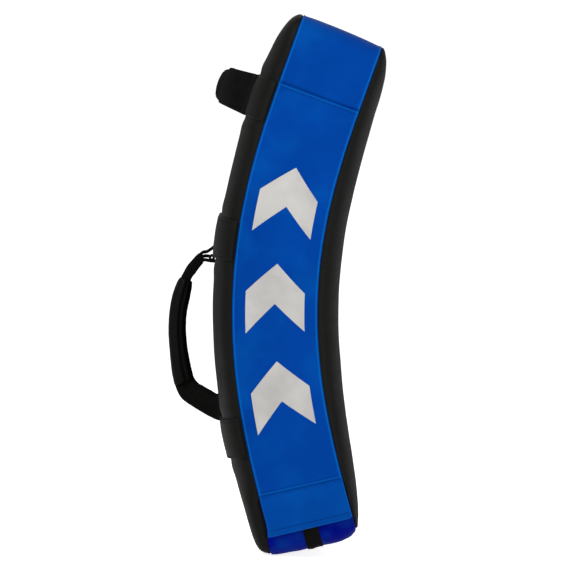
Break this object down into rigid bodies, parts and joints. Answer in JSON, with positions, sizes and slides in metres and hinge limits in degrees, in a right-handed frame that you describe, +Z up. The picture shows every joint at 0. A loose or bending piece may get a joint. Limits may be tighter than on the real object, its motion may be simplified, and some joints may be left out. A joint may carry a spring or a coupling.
{
  "type": "curved kick shield",
  "caption": "Tall padded striking shield, bent into a shallow arc, with an adjustable arm strap, a padded grip across the back and a closure flap at one end.",
  "frame": {"origin": "middle of the underside of the box round the whole shield, standing on its lower end", "axes": "+Z up along the shield's chord, the hollow striking face towards -Y and the handles towards +Y, the side wall with the closure flap towards -X"},
  "size_m": [0.3562, 0.2858, 0.753],
  "materials": {
    "black_hide": "satin",
    "blue_hide": "satin",
    "deep_blue_cloth": "satin",
    "webbing": "matte",
    "hook_and_loop": "matte",
    "foam_core": "matte",
    "impact_foam": "matte",
    "backing_foam": "matte"
  },
  "bodies": {
    "shell": {"striking_panel": "black_hide", "back_panel": "black_hide", "top_gusset": "blue_hide", "near_side_gusset": "blue_hide", "far_side_gusset": "blue_hide", "end_gusset": "deep_blue_cloth", "backing_foam": "backing_foam", "foam_core": "foam_core", "impact_foam": "impact_foam", "grip_band_upper": "black_hide", "grip_band_lower": "black_hide", "arm_band_near": "black_hide", "arm_band_far": "black_hide", "arm_strap_root": "black_hide", "arm_strap_inner": "webbing", "strap_loop_tape": "hook_and_loop", "grip_tab_upper": "webbing", "grip_tab_lower": "webbing", "gusset_hook_tape": "hook_and_loop", "end_webbing": "webbing"},
    "grip": {"grip_webbing": "webbing", "grip_foam": "backing_foam", "grip_cover": "black_hide"},
    "strap_half": {"arm_strap_outer": "black_hide", "strap_hook_tape": "hook_and_loop"},
    "flap": {"closure_flap": "blue_hide", "flap_loop_tape": "hook_and_loop"}
  },
  "joints": [
    {"name": "grip_swing", "type": "hinge", "parent": "shell", "child": "grip", "pos_m": [0, 0.07048, 0.19435], "axis": [0, 0.0877, 0.9961], "range_deg": [-60, 60]},
    {"name": "arm_strap_open", "type": "hinge", "parent": "shell", "child": "strap_half", "pos_m": [0.088, 0.04876, 0.6392], "axis": [0, 0.2736, -0.9618], "range_deg": [0, 100]},
    {"name": "closure_flap_lift", "type": "hinge", "parent": "shell", "child": "flap", "pos_m": [-0.1792, -0.05574, 0.09498], "axis": [0, 0.9527, -0.304], "range_deg": [0, 150]}
  ]
}
